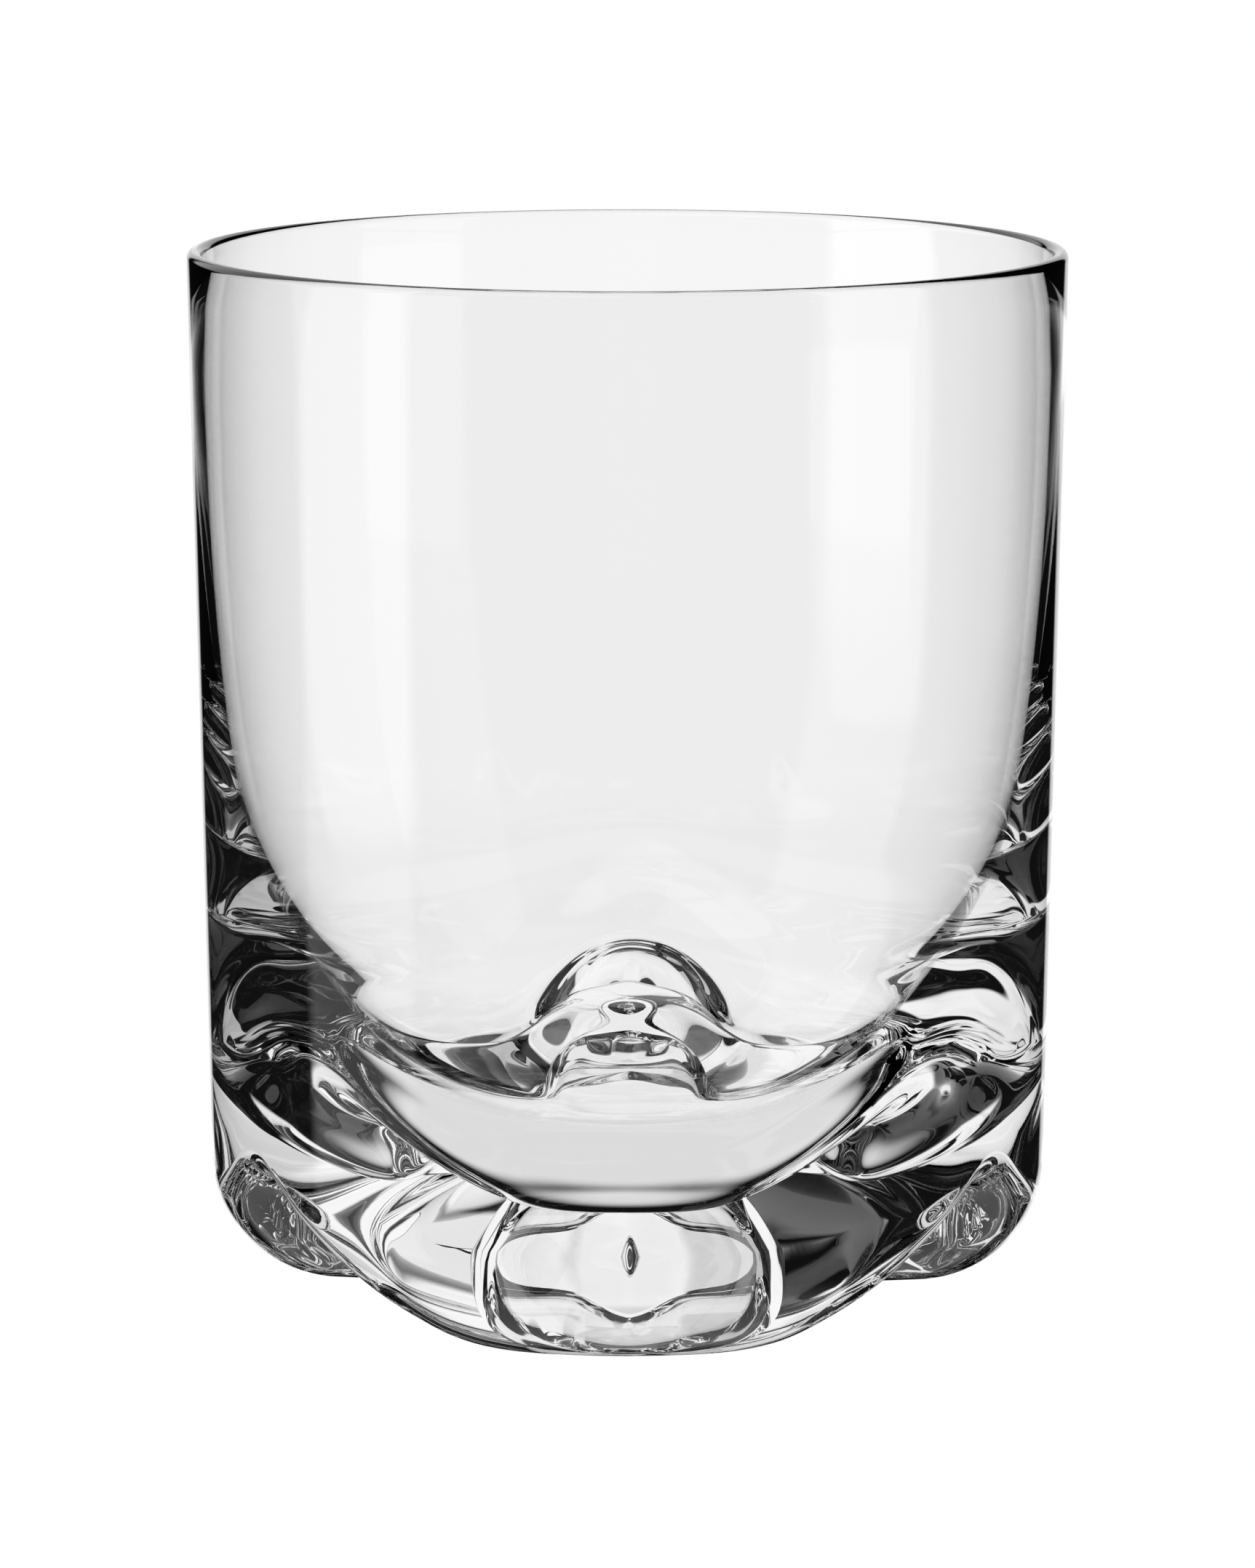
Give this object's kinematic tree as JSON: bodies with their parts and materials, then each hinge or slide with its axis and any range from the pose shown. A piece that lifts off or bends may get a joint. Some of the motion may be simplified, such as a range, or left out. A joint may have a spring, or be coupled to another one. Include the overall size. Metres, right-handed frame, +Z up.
{
  "type": "whiskey tumbler",
  "caption": "Straight clear glass tumbler with a thin rim and a thick base that stands on lobed feet, with arches between them and a bell-shaped hollow under the middle.",
  "frame": {"origin": "on the tumbler's axis, in the plane that its three feet stand on", "axes": "+Z up along the axis, towards the rim; -Y through the middle of one foot; +X to the right of that foot as it is looked at"},
  "size_m": [0.0776, 0.0776, 0.0936],
  "materials": {
    "glass": "clear, colourless, fire-polished"
  },
  "bodies": {
    "root": {"glass_body": "glass"}
  },
  "joints": []
}
